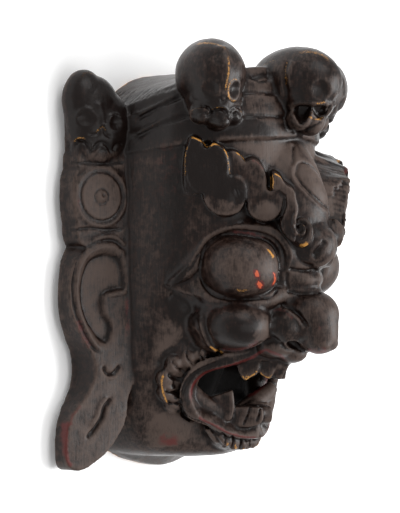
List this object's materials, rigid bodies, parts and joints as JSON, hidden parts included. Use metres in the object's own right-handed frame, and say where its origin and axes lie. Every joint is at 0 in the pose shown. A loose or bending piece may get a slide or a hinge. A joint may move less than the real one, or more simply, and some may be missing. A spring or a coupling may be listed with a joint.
{
  "type": "carved wooden guardian mask",
  "caption": "Carved dark wooden mask of a wrathful deity, hollow behind, with an open fanged mouth, a third eye, a crown of skulls and flat ear wings.",
  "frame": {"origin": "under the middle of the mask, on the plane of its flat back, where it lies", "axes": "+Z out of the face, +Y towards the crown, +X towards the ear on the right of someone who faces the mask"},
  "size_m": [0.3236, 0.3874, 0.201],
  "materials": {
    "patinated_wood": "near-black patina with a dull gloss, dusty grey on the high places, traces of dark red and worn ochre edges"
  },
  "bodies": {
    "root": {"mask": "patinated_wood"}
  },
  "joints": []
}
